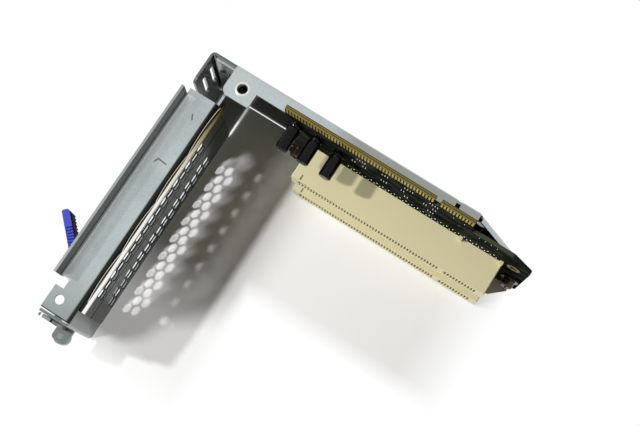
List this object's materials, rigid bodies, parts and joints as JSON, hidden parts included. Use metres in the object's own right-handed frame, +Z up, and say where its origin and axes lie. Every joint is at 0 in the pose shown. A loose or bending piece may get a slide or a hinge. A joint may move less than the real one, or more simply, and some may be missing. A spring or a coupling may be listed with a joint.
{
  "type": "riser card",
  "caption": "Expansion riser card in an L-shaped sheet metal cage, with card slots along the board, perforated slot covers on the side wall and a small hinged hand latch.",
  "frame": {"origin": "under the middle of the overall bounding box, on the surface that the cage stands on", "axes": "+X along the board away from the covers, +Y from the card slots to the main plate, +Z up to the contact edge"},
  "size_m": [0.1658, 0.1224, 0.0593],
  "materials": {
    "zinc_steel": "zinc plated sheet, lightly scuffed",
    "cover_steel": "dull plated sheet",
    "spring_strip": "bright thin spring metal",
    "board": "dark solder mask over glass fibre",
    "gold": "plated contact pads",
    "connector": "cream moulding",
    "slot_contact": "plated spring contacts",
    "capacitor": "shrunk glossy sleeve",
    "lead": "tinned",
    "screw": "black finish",
    "latch_steel": "dull plated sheet",
    "grip": "blue moulding"
  },
  "bodies": {
    "cage": {"main_bracket": "zinc_steel", "rear_frame": "zinc_steel", "slot_cover_1": "cover_steel", "slot_cover_2": "cover_steel", "emi_strip": "spring_strip", "frame_rivets": "zinc_steel", "riser_board": "board", "edge_contacts_front": "gold", "edge_contacts_back": "gold", "slot_connector_1": "connector", "slot_connector_2": "connector", "connector_contacts_1": "slot_contact", "connector_contacts_2": "slot_contact", "capacitor_1": "capacitor", "capacitor_2": "capacitor", "capacitor_3": "capacitor", "capacitor_leads": "lead", "board_standoffs": "lead", "board_screws": "screw", "latch_pin": "latch_steel"},
    "latch": {"latch_lever": "latch_steel", "latch_grip": "grip"}
  },
  "joints": [
    {"name": "latch_hinge", "type": "hinge", "parent": "cage", "child": "latch", "pos_m": [-0.05277, -0.0583, 0.0193], "axis": [0, 0, 1], "range_deg": [0, 95]}
  ]
}
